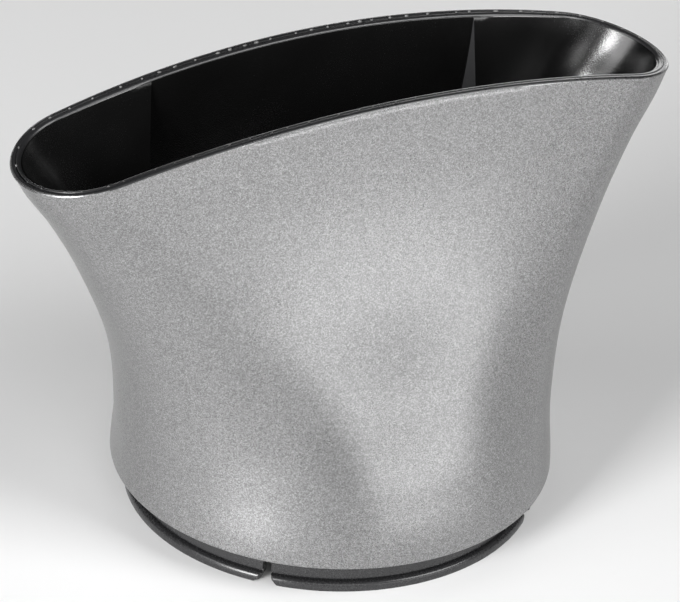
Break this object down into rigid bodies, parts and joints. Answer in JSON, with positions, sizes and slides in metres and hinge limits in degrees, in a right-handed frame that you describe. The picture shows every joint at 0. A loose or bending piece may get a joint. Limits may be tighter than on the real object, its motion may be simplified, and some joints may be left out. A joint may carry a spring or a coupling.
{
  "type": "hair dryer concentrator nozzle",
  "caption": "Push-on concentrator nozzle for a hair dryer: painted flared shell, black duct with a long arched mouth, and a slotted snap collar that it swivels on.",
  "frame": {"origin": "centre of the collar's lower end, on the swivel axis", "axes": "+Z along the air's way out of the mouth, X along the mouth's length, -Y the front broad side"},
  "size_m": [0.0872, 0.0556, 0.0586],
  "materials": {
    "shell": "plastic sprayed with a fine silver metallic paint, satin",
    "liner": "black heat-resistant plastic, polished inside",
    "collar": "black heat-resistant plastic, fine spark-eroded texture",
    "silicone": "dark grey silicone rubber, dull"
  },
  "bodies": {
    "collar": {"snap_collar": "collar"},
    "nozzle": {"outer_shell": "shell", "inner_liner": "liner", "friction_ring": "silicone"}
  },
  "joints": [
    {"name": "swivel", "type": "hinge", "parent": "collar", "child": "nozzle", "pos_m": [0, 0, 0.0065], "axis": [0, 0, 1], "continuous": true}
  ]
}
